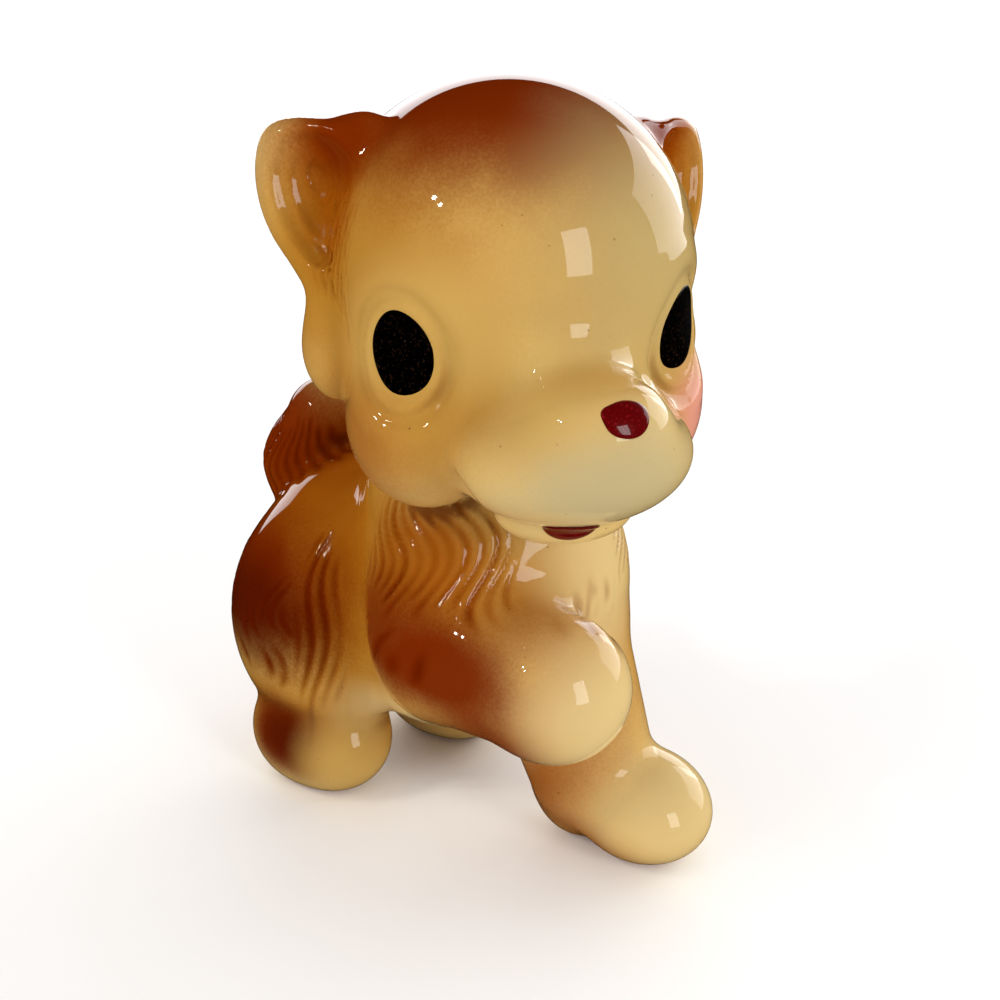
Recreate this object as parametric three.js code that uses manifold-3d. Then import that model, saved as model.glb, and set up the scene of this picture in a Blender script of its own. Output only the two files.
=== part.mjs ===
// A slip-cast pottery puppy, standing with one foreleg lifted and its big head turned to its right.
//
// The head and the body are hollow castings that meet at the neck. The ears, legs and tail are
// solid pieces stuck on with slip, and the eyes, nose and tongue are inlaid coloured enamel.
// The puppy faces -Y, its left is +X, and it stands on z = 0. All lengths are in millimetres.
import * as THREE from 'three';
import { mergeVertices } from 'three/addons/utils/BufferGeometryUtils.js';
import Module from 'manifold-3d';

const wasm = await Module();
wasm.setup();

// ---------- driving dimensions ----------

// Casting and fitting.
const WALL = 4.5; // thickness of the hollow castings
const SLIP_GAP = 0.3; // clearance wherever two pieces meet
const ENAMEL = 0.7; // depth of the inlaid enamel
const NECK_BORE = 18; // opening that joins the head's hollow to the body's
const SNOUT_BORE = 10; // passage from the skull's hollow to the snout's
const VENT_BORE = 9; // drain hole under the belly
const SINK = 1; // how far the paws are ground flat to stand level

// Head, measured in its own frame: forward is -Y, up is +Z.
const SKULL_WIDTH = 65;
const SKULL_DEPTH = 74;
const SKULL_HEIGHT = 62;
const HEAD_TURN = -20.7; // degrees to the puppy's right
const HEAD_LIFT = -7.2; // degrees of upward gaze
const NECK_RISE = 7; // from the top of the chest to the underside of the skull
const CHEEK_SPREAD = 18.5;
const MUZZLE_WIDTH = 39;
const MUZZLE_LENGTH = 21;
const MUZZLE_HEIGHT = 23;
const MUZZLE_DROP = 30; // from the skull's centre to the muzzle's
const NOSE_DROP = 20.6;
const EYE_WIDTH = 10.8;
const EYE_HEIGHT = 13.8;
const EYE_SPACING = 47.8;
const EYE_SPLAY = 35; // degrees that each eye looks outward
const EYE_DROP = 13.8;
const NOSE_WIDTH = 9;
const NOSE_HEIGHT = 6.5;
const TONGUE_WIDTH = 11;
const TONGUE_HEIGHT = 5;
const EAR_WIDTH = 22;
const EAR_HEIGHT = 30;
const EAR_THICKNESS = 9;
const LEFT_EAR_DROP = 3; // the left ear was stuck on a little lower

// Body.
const CHEST_WIDTH = 44;
const CHEST_HEIGHT = 54;
const CHEST_CENTRE_Z = 56;
const BODY_LENGTH = 84;
const RUMP_WIDTH = 58;
const RUMP_TOP = 69;
const SHOULDER_Y = -15;
const NECK_RADIUS = 19;

// Limbs.
const FORELEG_RADIUS = 13;
const RAISED_PAW_REACH = 27;
const PAW_WIDTH = 26;
const PAW_LENGTH = 30;
const PAW_HEIGHT = 22;
const HIND_FOOT_WIDTH = 26;
const HIND_FOOT_LENGTH = 34;
const HIND_FOOT_HEIGHT = 26;
const STANCE = 34; // between the centres of the hind feet
const TAIL_RADIUS = 11;
const TAIL_RISE = 26;

// Facets along one edge of the starting icosahedron.
const FINE = 7;
const MEDIUM = 4;
const COARSE = 3;

// ---------- colours of the glaze ----------

const glaze = (name, colour) => {
  return new THREE.MeshStandardMaterial({ name, color: colour, roughness: 0.12, metalness: 0 });
};
const HONEY = 0xc08a45;
const RUST = 0x8a4218;
const CREAM = 0xd9c49a;

// ---------- soft shapes ----------
// A shape is a function that gives a point's distance outside its skin, negative inside.

const v = (x, y, z) => new THREE.Vector3(x, y, z);
const radians = THREE.MathUtils.degToRad;

function turned(x, y, z) {
  const angles = new THREE.Euler(radians(x), radians(y), radians(z), 'ZYX');
  return new THREE.Quaternion().setFromEuler(angles);
}

function ellipsoid(centre, radii, turn = new THREE.Quaternion()) {
  const back = turn.clone().invert();
  const inner = Math.min(radii.x, radii.y, radii.z);
  return (point) => {
    const local = point.clone().sub(centre).applyQuaternion(back);
    const scaled = local.divide(radii);
    const reach = scaled.length();
    const slope = scaled.divide(radii).length();
    return slope > 1e-6 ? (reach * (reach - 1)) / slope : -inner;
  };
}

function taper(from, to, fromRadius, toRadius) {
  const run = to.clone().sub(from);
  const length = run.length();
  const lean = Math.asin(THREE.MathUtils.clamp((fromRadius - toRadius) / length, -1, 1));
  const along = run.divideScalar(length);
  return (point) => {
    const offset = point.clone().sub(from);
    const height = offset.dot(along);
    const side = Math.sqrt(Math.max(offset.lengthSq() - height * height, 0));
    const place = THREE.MathUtils.clamp((height + side * Math.tan(lean)) / length, 0, 1);
    const radius = THREE.MathUtils.lerp(fromRadius, toRadius, place);
    return Math.hypot(side, height - place * length) - radius;
  };
}

function blended(first, ...others) {
  return (point) => {
    let distance = first(point);
    for (const [shape, softness] of others) {
      const other = shape(point);
      const share = Math.max(softness - Math.abs(distance - other), 0) / softness;
      distance = Math.min(distance, other) - (share * share * softness) / 4;
    }
    return distance;
  };
}

function carved(shape, cutter, softness) {
  const outside = blended((point) => -shape(point), [cutter, softness]);
  return (point) => -outside(point);
}

function mirrored(shape) {
  return (point) => shape(v(Math.abs(point.x), point.y, point.z));
}

// ---------- solids ----------

function bare(geometry) {
  const copy = geometry.clone();
  copy.deleteAttribute('normal');
  copy.deleteAttribute('uv');
  return mergeVertices(copy);
}

function solid(geometry) {
  const plain = bare(geometry);
  const vertProperties = new Float32Array(plain.attributes.position.array);
  const triVerts = new Uint32Array(plain.index.array);
  return new wasm.Manifold(new wasm.Mesh({ numProp: 3, vertProperties, triVerts }));
}

// Presses a ball outward from a heart until it meets the shape's skin, moved out by `proud`.
function swell(shape, heart, detail, proud = 0) {
  const farthest = 130;
  const stride = 2;
  const ball = bare(new THREE.IcosahedronGeometry(1, detail));
  const place = ball.attributes.position;
  const direction = new THREE.Vector3();
  const outside = (reach) => shape(heart.clone().addScaledVector(direction, reach)) > proud;
  for (let i = 0; i < place.count; i += 1) {
    direction.fromBufferAttribute(place, i).normalize();
    let far = farthest;
    while (far > stride && outside(far - stride)) {
      far -= stride;
    }
    let near = far - stride;
    for (let step = 0; step < 24; step += 1) {
      const middle = (near + far) / 2;
      if (outside(middle)) {
        far = middle;
      } else {
        near = middle;
      }
    }
    const skin = heart.clone().addScaledVector(direction, near);
    place.setXYZ(i, skin.x, skin.y, skin.z);
  }
  return solid(ball);
}

// A lump is a shape with the heart it is pressed out from and how finely it is faceted.
function press(lumps, proud = 0) {
  const balls = lumps.map(({ shape, heart, detail }) => swell(shape, heart, detail, proud));
  return balls.reduce((whole, ball) => whole.add(ball));
}

function coarser(lump) {
  return { ...lump, detail: COARSE };
}

// A round rod between two points.
function rod(from, to, radius, sides = 24) {
  const run = to.clone().sub(from);
  const geometry = new THREE.CylinderGeometry(radius, radius, run.length(), sides);
  const turn = new THREE.Quaternion().setFromUnitVectors(v(0, 1, 0), run.clone().normalize());
  const middle = from.clone().add(to).divideScalar(2);
  geometry.applyMatrix4(new THREE.Matrix4().compose(middle, turn, v(1, 1, 1)));
  return solid(geometry);
}

// An oval bar, `width` by `height`, running both ways from its place along its own Y axis.
function ovalBar(place, turn, width, height, length) {
  const geometry = new THREE.CylinderGeometry(0.5, 0.5, length, 24);
  const size = v(width, 1, height);
  geometry.applyMatrix4(new THREE.Matrix4().compose(place, turn, size));
  return solid(geometry);
}

function ground() {
  const size = 300;
  const slab = new THREE.BoxGeometry(size, size, size);
  slab.translate(0, 0, -size / 2);
  return solid(slab);
}

function piece(name, shape, material) {
  const cut = shape.getMesh();
  const geometry = new THREE.BufferGeometry();
  geometry.setAttribute('position', new THREE.BufferAttribute(cut.vertProperties, 3));
  geometry.setIndex(new THREE.BufferAttribute(cut.triVerts, 1));
  geometry.computeVertexNormals();
  const mesh = new THREE.Mesh(geometry, material);
  mesh.name = name;
  return mesh;
}

// ---------- head ----------

const skullRadii = v(SKULL_WIDTH / 2, SKULL_DEPTH / 2, SKULL_HEIGHT / 2);
const faceY = -34;
const skullCentre = v(0, faceY + skullRadii.y, 0);
const splay = radians(EYE_SPLAY);
const eyePlace = v(EYE_SPACING / 2, -15.2, -EYE_DROP);
const eyeDepth = 7.5;
const eyeCentre = eyePlace.clone();
eyeCentre.x -= eyeDepth * Math.sin(splay);
eyeCentre.y += eyeDepth * Math.cos(splay);
const noseY = faceY + 4 - MUZZLE_LENGTH;
const nosePlace = v(0, noseY, -NOSE_DROP);
const tonguePlace = v(0, noseY + 20, -MUZZLE_DROP - MUZZLE_HEIGHT / 2);

const skull = ellipsoid(skullCentre, skullRadii);
const cheek = ellipsoid(v(CHEEK_SPREAD, -5, -27), v(14, 16, 16));
const eyeball = ellipsoid(eyeCentre, v(8, 8, 11));
const muzzleCentre = v(0, faceY + 6, -MUZZLE_DROP);
const muzzle = ellipsoid(muzzleCentre, v(MUZZLE_WIDTH / 2, MUZZLE_LENGTH, MUZZLE_HEIGHT / 2));
const noseTip = ellipsoid(v(0, noseY + 8, -NOSE_DROP - 1.5), v(8, 8, 6));
const chin = ellipsoid(v(0, muzzleCentre.y + 5, -MUZZLE_DROP - 10), v(12, 11, 6));

const face = {
  shape: mirrored(blended(skull, [cheek, 8], [eyeball, 5])),
  heart: v(0, 0, -6),
  detail: FINE,
};
const snout = {
  shape: mirrored(blended(muzzle, [noseTip, 8], [chin, 2])),
  heart: muzzleCentre,
  detail: MEDIUM,
};

const head = new THREE.Group();
const chestTop = CHEST_CENTRE_Z + CHEST_HEIGHT / 2;
head.position.set(0, SHOULDER_Y, chestTop + NECK_RISE + SKULL_HEIGHT / 2);
head.rotation.set(radians(HEAD_LIFT), 0, radians(HEAD_TURN), 'ZYX');
head.updateMatrix();
const headMatrix = [...head.matrix.elements];

const headSkin = press([face, snout]);
const headClearance = press([face, snout], SLIP_GAP);
const snoutBore = rod(face.heart, snout.heart, SNOUT_BORE / 2);
const headHollow = press([face, snout].map(coarser), -WALL).add(snoutBore);

// Enamel fills a shallow oval pocket in one lump of the head, flush with the clay round it.
function inlay(lump, place, turn, width, height) {
  const length = 16;
  const round = 2 * SLIP_GAP;
  const bar = ovalBar(place, turn, width, height, length);
  const pocketBar = ovalBar(place, turn, width + round, height + round, length + round);
  return {
    enamel: press([lump]).intersect(bar).subtract(press([lump], -ENAMEL)),
    pocket: pocketBar.subtract(press([lump], -ENAMEL - SLIP_GAP)),
  };
}

function eye(side) {
  const place = v(side * eyePlace.x, eyePlace.y, eyePlace.z);
  return inlay(face, place, turned(0, 0, side * EYE_SPLAY), EYE_WIDTH, EYE_HEIGHT);
}

const leftEye = eye(1);
const rightEye = eye(-1);
const nose = inlay(snout, nosePlace, turned(0, 0, 0), NOSE_WIDTH, NOSE_HEIGHT);
const tongue = inlay(snout, tonguePlace, turned(-35, 0, 0), TONGUE_WIDTH, TONGUE_HEIGHT);

// ---------- ears ----------

function ear(side, drop) {
  const root = skullRadii.x;
  const lean = turned(0, side * 20, side * 12);
  const leafCentre = v(side * (root - 1), 5, 9 - drop);
  const leafRadii = v(EAR_WIDTH / 2, EAR_THICKNESS / 2, EAR_HEIGHT / 2);
  const cupCentre = v(side * (root + 0.5), 5 - EAR_THICKNESS, 10 - drop);
  const cupRadii = v(leafRadii.x - 3, EAR_THICKNESS * 0.9, leafRadii.z - 3.5);
  const leaf = {
    shape: carved(ellipsoid(leafCentre, leafRadii, lean), ellipsoid(cupCentre, cupRadii, lean), 2),
    heart: v(leafCentre.x, leafCentre.y + 2, leafCentre.z),
    detail: MEDIUM,
  };
  const tuftCentre = v(side * (root - 1), 6, -13.5 - drop);
  const tuft = { shape: ellipsoid(tuftCentre, v(6.5, 7, 10)), heart: tuftCentre, detail: COARSE };
  return press([leaf, tuft]).subtract(headClearance);
}

// ---------- body ----------

const chestRadii = v(CHEST_WIDTH / 2, 19, CHEST_HEIGHT / 2);
const rumpRadius = RUMP_WIDTH / 2 - 3;
const rumpY = SHOULDER_Y - chestRadii.y + BODY_LENGTH - rumpRadius + 7;
const rumpZ = RUMP_TOP - rumpRadius;
const bodyHeart = v(0, (SHOULDER_Y + rumpY) / 2, 46);

const chest = ellipsoid(v(1, SHOULDER_Y, CHEST_CENTRE_Z), chestRadii);
const belly = ellipsoid(v(0, bodyHeart.y, 44), v(23, 32, 25.5));
const rump = ellipsoid(v(0, rumpY, rumpZ), v(rumpRadius, rumpRadius, rumpRadius));
const thigh = ellipsoid(v(RUMP_WIDTH / 2 - 13, rumpY - 1, rumpZ - 8), v(16, 23, 24));
const shoulder = ellipsoid(v(-14, SHOULDER_Y + 2, CHEST_CENTRE_Z - 2), v(14, 17, 22));
const torso = {
  shape: blended(chest, [belly, 8], [rump, 8], [mirrored(thigh), 6], [shoulder, 5]),
  heart: bodyHeart,
  detail: FINE,
};

const neckFoot = v(0, SHOULDER_Y + 6, CHEST_CENTRE_Z + 6);
const neckTop = v(0, SHOULDER_Y + 4, chestTop + NECK_RISE - 2);
const neck = {
  shape: taper(neckFoot, neckTop, NECK_RADIUS + 2, NECK_RADIUS),
  heart: neckFoot,
  detail: COARSE,
};

const bodySkin = press([torso, neck]);
const bodyClearance = press([torso, neck], SLIP_GAP);
const bodyHollow = press([torso, neck].map(coarser), -WALL);
const headSeat = headClearance.transform(headMatrix);
const headSeatWall = press([face, snout].map(coarser), SLIP_GAP + WALL).transform(headMatrix);

const boreFoot = v(0, SHOULDER_Y + 4, CHEST_CENTRE_Z);
const boreHead = v(0, SHOULDER_Y + 4, head.position.z);
const neckBore = rod(boreFoot, boreHead, NECK_BORE / 2);
const ventBore = rod(v(0, bodyHeart.y, 0), v(0, bodyHeart.y, bodyHeart.z), VENT_BORE / 2);

const bodyShell = bodySkin
  .subtract(headSeat)
  .subtract(bodyHollow.subtract(headSeatWall))
  .subtract(neckBore)
  .subtract(ventBore);

// The neck bore is cut in the head's own frame, where the head is modelled.
const intoHead = [...head.matrix.clone().invert().elements];
const headShell = headSkin
  .subtract(headHollow)
  .subtract(neckBore.transform(intoHead))
  .subtract(leftEye.pocket)
  .subtract(rightEye.pocket)
  .subtract(nose.pocket)
  .subtract(tongue.pocket);

// ---------- limbs ----------

const floor = ground();

// A piece stuck on the body, trimmed to clear it and the head, and ground flat underneath.
function stuckOn(lumps) {
  return press(lumps).subtract(bodyClearance).subtract(headSeat).subtract(floor);
}

const raisedElbow = v(-17, SHOULDER_Y - 3, CHEST_CENTRE_Z - 7);
const raisedPaw = v(-12, SHOULDER_Y - RAISED_PAW_REACH, CHEST_CENTRE_Z - 7);
const raisedLump = {
  shape: taper(raisedElbow, raisedPaw, FORELEG_RADIUS + 1, FORELEG_RADIUS),
  heart: raisedElbow.clone().lerp(raisedPaw, 0.5),
  detail: MEDIUM,
};
const raisedForeleg = stuckOn([raisedLump]);
const pawClearance = press([raisedLump], SLIP_GAP);

const standingHip = v(9, SHOULDER_Y - 2, CHEST_CENTRE_Z - 14);
const standingWrist = v(12, SHOULDER_Y - 10, PAW_HEIGHT * 0.7);
const pawCentre = v(standingWrist.x + 4.5, standingWrist.y - 10, PAW_HEIGHT / 2 - SINK);
const standingPaw = ellipsoid(pawCentre, v(PAW_WIDTH / 2, PAW_LENGTH / 2, PAW_HEIGHT / 2));
const heel = ellipsoid(v(standingWrist.x + 0.5, standingWrist.y + 2, 11.5), v(10, 11, 12));
const standingLeg = taper(standingHip, standingWrist, FORELEG_RADIUS + 2, FORELEG_RADIUS);
const standingLump = {
  shape: blended(standingLeg, [standingPaw, 3], [heel, 3]),
  heart: standingWrist,
  detail: MEDIUM,
};
const standingForeleg = stuckOn([standingLump]).subtract(pawClearance);

function hindFoot(side) {
  const centre = v((side * STANCE) / 2, rumpY - 4, HIND_FOOT_HEIGHT / 2 - SINK);
  const radii = v(HIND_FOOT_WIDTH / 2, HIND_FOOT_LENGTH / 2, HIND_FOOT_HEIGHT / 2);
  return stuckOn([{ shape: ellipsoid(centre, radii), heart: centre, detail: COARSE }]);
}

const tailRoot = v(0, rumpY + rumpRadius - 10, rumpZ + 8);
const tailBend = v(0, rumpY + rumpRadius - 5, rumpZ + 19);
const tailTip = v(0, rumpY + rumpRadius - 9, rumpZ + 4 + TAIL_RISE);
const tailLump = {
  shape: blended(taper(tailRoot, tailBend, TAIL_RADIUS, TAIL_RADIUS), [
    taper(tailBend, tailTip, TAIL_RADIUS, TAIL_RADIUS * 0.8),
    4,
  ]),
  heart: tailBend,
  detail: COARSE,
};
const tail = stuckOn([tailLump]);

// ---------- the figurine ----------

const enamel = (name, colour) => {
  return new THREE.MeshStandardMaterial({ name, color: colour, roughness: 0.2, metalness: 0 });
};

head.add(piece('head_shell', headShell, glaze('head', HONEY)));
head.add(piece('right_ear', ear(-1, 0), glaze('right_ear', RUST)));
head.add(piece('left_ear', ear(1, LEFT_EAR_DROP), glaze('left_ear', RUST)));
head.add(piece('right_eye', rightEye.enamel, enamel('right_eye', 0x0d0b0a)));
head.add(piece('left_eye', leftEye.enamel, enamel('left_eye', 0x0d0b0a)));
head.add(piece('nose', nose.enamel, enamel('nose', 0x5a0f18)));
head.add(piece('tongue', tongue.enamel, enamel('tongue', 0x6a1a24)));

const figurine = new THREE.Group();
figurine.add(head);
figurine.add(piece('body_shell', bodyShell, glaze('body', HONEY)));
figurine.add(piece('raised_foreleg', raisedForeleg, glaze('raised_foreleg', CREAM)));
figurine.add(piece('standing_foreleg', standingForeleg, glaze('standing_foreleg', CREAM)));
figurine.add(piece('right_hind_foot', hindFoot(-1), glaze('right_hind_foot', RUST)));
figurine.add(piece('left_hind_foot', hindFoot(1), glaze('left_hind_foot', RUST)));
figurine.add(piece('tail', tail, glaze('tail', RUST)));

// The origin is on the table, under the middle of the figurine.
const box = new THREE.Box3().setFromObject(figurine, true);
const middle = box.getCenter(new THREE.Vector3());
figurine.position.set(-middle.x, -middle.y, 0);

export default figurine;
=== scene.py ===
"""A glazed pottery puppy, sculpted as one skin of clay and parted into its castings.

The clay is described by soft lumps in millimetres and sampled on a grid. The grid is cut
into closed pieces that share their seams, so that the glaze runs on from one to the next.
Eyes, nose and tongue are thin pads of enamel laid on the clay.
"""

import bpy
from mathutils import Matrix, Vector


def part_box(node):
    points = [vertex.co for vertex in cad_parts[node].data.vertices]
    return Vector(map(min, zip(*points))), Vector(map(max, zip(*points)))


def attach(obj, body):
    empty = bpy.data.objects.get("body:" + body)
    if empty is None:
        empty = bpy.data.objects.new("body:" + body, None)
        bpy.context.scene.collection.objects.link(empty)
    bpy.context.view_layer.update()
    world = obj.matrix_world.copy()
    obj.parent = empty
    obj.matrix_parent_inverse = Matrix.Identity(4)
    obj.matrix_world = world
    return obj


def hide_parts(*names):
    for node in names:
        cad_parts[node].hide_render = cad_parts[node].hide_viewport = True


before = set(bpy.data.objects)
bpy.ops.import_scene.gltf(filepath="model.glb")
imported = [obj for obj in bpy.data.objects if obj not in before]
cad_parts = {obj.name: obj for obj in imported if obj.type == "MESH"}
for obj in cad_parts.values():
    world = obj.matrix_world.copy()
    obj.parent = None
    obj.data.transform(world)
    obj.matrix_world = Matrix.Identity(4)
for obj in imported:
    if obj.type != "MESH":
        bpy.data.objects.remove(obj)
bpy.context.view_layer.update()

import logging
import math
from dataclasses import dataclass, field
from enum import Enum
from functools import reduce
from typing import Callable, Sequence

import bpy
import numpy as np
from mathutils import Vector

LOG = logging.getLogger("puppy")
MM = 0.001
Array = np.ndarray
Triple = tuple[float, float, float]
Field = Callable[[Array], Array]


# ---------- measures and small maths ----------


def turned(x: float = 0.0, y: float = 0.0, z: float = 0.0) -> Array:
    """A rotation matrix that turns about X, then Y, then Z, by angles in degrees.

    Args:
        x: degrees about X.
        y: degrees about Y.
        z: degrees about Z.

    Returns:
        The matrix.
    """
    (cx, cy, cz), (sx, sy, sz) = np.cos(np.radians([x, y, z])), np.sin(np.radians([x, y, z]))
    about_x = np.array([[1, 0, 0], [0, cx, -sx], [0, sx, cx]])
    about_y = np.array([[cy, 0, sy], [0, 1, 0], [-sy, 0, cy]])
    about_z = np.array([[cz, -sz, 0], [sz, cz, 0], [0, 0, 1]])
    return about_z @ about_y @ about_x


def softened(first: Array, second: Array, softness: float) -> Array:
    """The lower of two distances, rounded over where they are within `softness`."""
    share = np.maximum(softness - np.abs(first - second), 0.0) / softness
    return np.minimum(first, second) - share * share * softness / 4


def slope(of: Field, points: Array, step: float) -> Array:
    """The gradient of a field at points, by central differences.

    Args:
        of: the field.
        points: places, one row each.
        step: how far to either side the field is read.

    Returns:
        One gradient vector for each point.
    """
    columns = []
    for axis in np.eye(3, dtype=np.float32):
        columns.append((of(points + axis * step) - of(points - axis * step)) / (2 * step))
    return np.stack(columns, axis=1)


def hex_colour(code: str) -> tuple[float, float, float, float]:
    """A linear colour from a six-digit display code such as c8964f.

    Args:
        code: two hexadecimal digits each for red, green and blue.

    Returns:
        Linear red, green and blue, and an alpha of 1.
    """
    shares = [int(code[i : i + 2], 16) / 255 for i in (0, 2, 4)]
    linear = [c / 12.92 if c <= 0.04045 else ((c + 0.055) / 1.055) ** 2.4 for c in shares]
    return (*linear, 1.0)


def box_middle(node: str) -> Array:
    """The middle of a CAD node's box, in millimetres."""
    low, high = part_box(node)
    return (np.array(low) + np.array(high)) / 2 / MM


def capped_rings(rings: int, count: int) -> list[list[int]]:
    """The faces of a disc made of rings of knots, from the middle outward.

    Args:
        rings: how many rings there are.
        count: how many knots each ring has.

    Returns:
        A face that closes the first ring, then four-cornered faces between the rings.
    """
    ring = np.arange(count)
    after = (ring + 1) % count
    faces = [ring.tolist()]
    for here in range(0, (rings - 1) * count, count):
        there = here + count
        faces += np.stack([here + ring, there + ring, there + after, here + after], 1).tolist()
    return faces


# ---------- clay ----------


class Lump:
    """What every lump of clay does with its mirror image across its own x = 0."""

    mirrored: bool

    def folded(self, points: Array) -> Array:
        """The points, brought to the +X side where the lump is mirrored.

        Args:
            points: places in the piece's own frame.

        Returns:
            A copy of the points.
        """
        local = np.array(points, dtype=np.float32)
        if self.mirrored:
            local[:, 0] = np.abs(local[:, 0])
        return local

    def widened(self, low: Array, high: Array) -> tuple[Array, Array]:
        """A box, widened to hold the mirror image too.

        Args:
            low: the box's lowest corner.
            high: its highest corner.

        Returns:
            The new corners.
        """
        if self.mirrored:
            low[0] = -high[0]
        return low, high


@dataclass(frozen=True)
class Ball(Lump):
    """An egg of clay, with its middle, half sizes and a turn in degrees."""

    centre: Triple
    radii: Triple
    turn: Triple = (0.0, 0.0, 0.0)
    mirrored: bool = False

    def distance(self, points: Array) -> Array:
        """How far outside the egg each point is.

        Args:
            points: places in the piece's own frame.

        Returns:
            Millimetres, negative inside.
        """
        local = self.folded(points) - np.array(self.centre, np.float32)
        if any(self.turn):
            local = local @ turned(*self.turn).astype(np.float32)
        scaled = local / np.array(self.radii, np.float32)
        reach = np.sqrt((scaled * scaled).sum(1))
        steep = np.sqrt(((scaled / np.array(self.radii, np.float32)) ** 2).sum(1))
        return reach * (reach - 1) / np.maximum(steep, 1e-6)

    def extent(self) -> tuple[Array, Array]:
        """A box round the egg, in its own frame.

        Returns:
            The lowest and the highest corner.
        """
        middle, widest = np.array(self.centre), max(self.radii)
        return self.widened(middle - widest, middle + widest)


@dataclass(frozen=True)
class Roll(Lump):
    """A roll of clay between two points, with a radius at each."""

    start: Triple
    end: Triple
    start_radius: float
    end_radius: float
    mirrored: bool = False

    def distance(self, points: Array) -> Array:
        """How far outside the roll each point is.

        Args:
            points: places in the piece's own frame.

        Returns:
            Millimetres, negative inside.
        """
        start = np.array(self.start, np.float32)
        run = np.array(self.end, np.float32) - start
        local = self.folded(points) - start
        share = np.clip(local @ run / (run @ run), 0, 1)
        away = local - share[:, None] * run
        radius = self.start_radius + (self.end_radius - self.start_radius) * share
        return np.sqrt((away * away).sum(1)) - radius

    def extent(self) -> tuple[Array, Array]:
        """A box round the roll, in its own frame.

        Returns:
            The lowest and the highest corner.
        """
        ends = np.array([self.start, self.end])
        widest = max(self.start_radius, self.end_radius)
        return self.widened(ends.min(0) - widest, ends.max(0) + widest)


# A lump with the softness of its join to what was there before it.
Pressed = tuple[Ball | Roll, float]


@dataclass(frozen=True)
class Pose:
    """Where a piece's own frame sits in the figurine's frame."""

    origin: Array
    turn: Array = field(default_factory=lambda: np.eye(3))

    def inward(self, points: Array) -> Array:
        """Figurine points as points of the piece's own frame."""
        return ((points - self.origin) @ self.turn).astype(np.float32)

    def outward(self, points: Array) -> Array:
        """Points of the piece's own frame as figurine points."""
        return np.asarray(points) @ self.turn.T + self.origin


@dataclass
class Clay:
    """The clay of one piece: lumps pressed together, and hollows pressed in.

    Args:
        name: the piece's name, which is its CAD node's.
        pose: the frame that the lumps are measured in.
        lumps: each lump with the softness of its join to those before it.
        hollows: each hollow with the softness of its rim.
        join: softness of the join between this piece and those before it.
    """

    name: str
    pose: Pose
    lumps: list[Pressed]
    hollows: list[Pressed] = field(default_factory=list)
    join: float = 3.0

    def distance(self, points: Array) -> Array:
        """How far outside the clay each figurine point is.

        Args:
            points: places in the figurine's frame.

        Returns:
            Millimetres, negative inside.
        """
        local = self.pose.inward(points)
        result = self.lumps[0][0].distance(local)
        for lump, softness in self.lumps[1:]:
            result = softened(result, lump.distance(local), softness)
        for hollow, softness in self.hollows:
            result = -softened(-result, hollow.distance(local), softness)
        return result

    def extent(self, margin: float) -> tuple[Array, Array]:
        """A box round the clay, in the figurine's frame.

        Args:
            margin: how much wider the box is on every side.

        Returns:
            The lowest and the highest corner.
        """
        corners = []
        for lump, _ in self.lumps:
            ends = np.array(lump.extent())
            grid = np.array(np.meshgrid(*ends.T, indexing="ij")).reshape(3, -1).T
            corners.append(self.pose.outward(grid))
        every = np.concatenate(corners)
        return every.min(0) - margin, every.max(0) + margin


# ---------- relief worked into the skin ----------


@dataclass(frozen=True)
class Dab:
    """A low mound, or a dent where the height is negative, that fades like a bell."""

    centre: Array
    radii: Triple
    height: float
    turn: Array = field(default_factory=lambda: np.eye(3))

    def raise_by(self, points: Array) -> Array:
        """How far the skin is raised at each point."""
        local = ((points - self.centre) @ self.turn) / np.array(self.radii)
        return self.height * np.exp(-(local * local).sum(1))


@dataclass(frozen=True)
class Bead:
    """An oval ring of raised or sunk clay round a place on the skin.

    Args:
        centre: the oval's middle.
        turn: a matrix whose second column points into the skin.
        half_width: from the middle to the ring, across.
        half_height: from the middle to the ring, up.
        thickness: how wide the ring is.
        height: how far it stands out, or sinks in where negative.
    """

    centre: Array
    turn: Array
    half_width: float
    half_height: float
    thickness: float
    height: float

    # How far in front of and behind its middle it works, as a share of its size.
    NEARNESS = 0.9

    def raise_by(self, points: Array) -> Array:
        """How far the skin is raised at each point.

        Args:
            points: places in the figurine's frame.

        Returns:
            Millimetres, negative where it is sunk.
        """
        local = (points - self.centre) @ self.turn
        reach = np.hypot(local[:, 0] / self.half_width, local[:, 2] / self.half_height)
        size = (self.half_width + self.half_height) / 2
        off = (reach - 1) * size / self.thickness
        near = np.exp(-((local[:, 1] / (size * self.NEARNESS)) ** 4))
        return self.height * np.exp(-off * off) * near


def eased(values: Array, start: float | Array, end: float | Array) -> Array:
    """A smooth climb from 0 at `start` to 1 at `end`."""
    share = np.clip((values - start) / (end - start), 0, 1)
    return share * share * (3 - 2 * share)


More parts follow.
